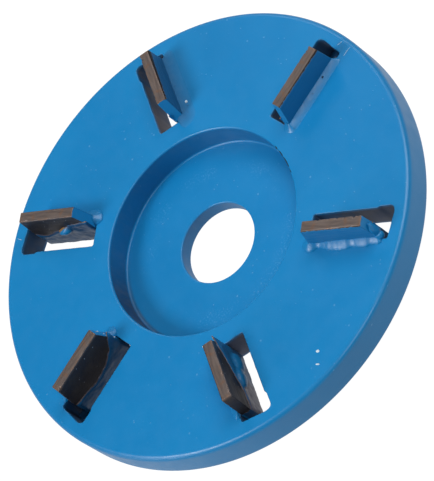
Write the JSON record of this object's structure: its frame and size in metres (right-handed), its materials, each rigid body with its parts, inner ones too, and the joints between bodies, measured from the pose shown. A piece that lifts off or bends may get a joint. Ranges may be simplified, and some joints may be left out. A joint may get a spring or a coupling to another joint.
{
  "type": "angle grinder carving disc",
  "caption": "Painted steel disc with upright carbide blades brazed into slots, for carving and shaping wood with an angle grinder.",
  "frame": {"origin": "Centre of the bore in the plane of the hub's back face, which sits on the grinder's inner flange.", "axes": "+Z points along the spindle out of the cutting face. +X runs along the blade of the first tooth, from the bore to the rim. +Y completes the right-handed frame and is the way that blade cuts."},
  "size_m": [0.09, 0.09, 0.0147],
  "materials": {
    "body_paint": "smooth blue enamel over steel, semi-gloss",
    "carbide": "ground tungsten carbide with heat-browned flanks",
    "painted_braze": "lumpy braze filler under the same blue enamel, glossy"
  },
  "bodies": {
    "root": {"disc_body": "body_paint", "carbide_blade_1": "carbide", "carbide_blade_2": "carbide", "carbide_blade_3": "carbide", "carbide_blade_4": "carbide", "carbide_blade_5": "carbide", "carbide_blade_6": "carbide", "rear_braze_bead_1": "painted_braze", "rear_braze_bead_2": "painted_braze", "rear_braze_bead_3": "painted_braze", "rear_braze_bead_4": "painted_braze", "rear_braze_bead_5": "painted_braze", "rear_braze_bead_6": "painted_braze", "front_braze_fillet_1": "painted_braze", "front_braze_fillet_2": "painted_braze", "front_braze_fillet_3": "painted_braze", "front_braze_fillet_4": "painted_braze", "front_braze_fillet_5": "painted_braze", "front_braze_fillet_6": "painted_braze"}
  },
  "joints": []
}
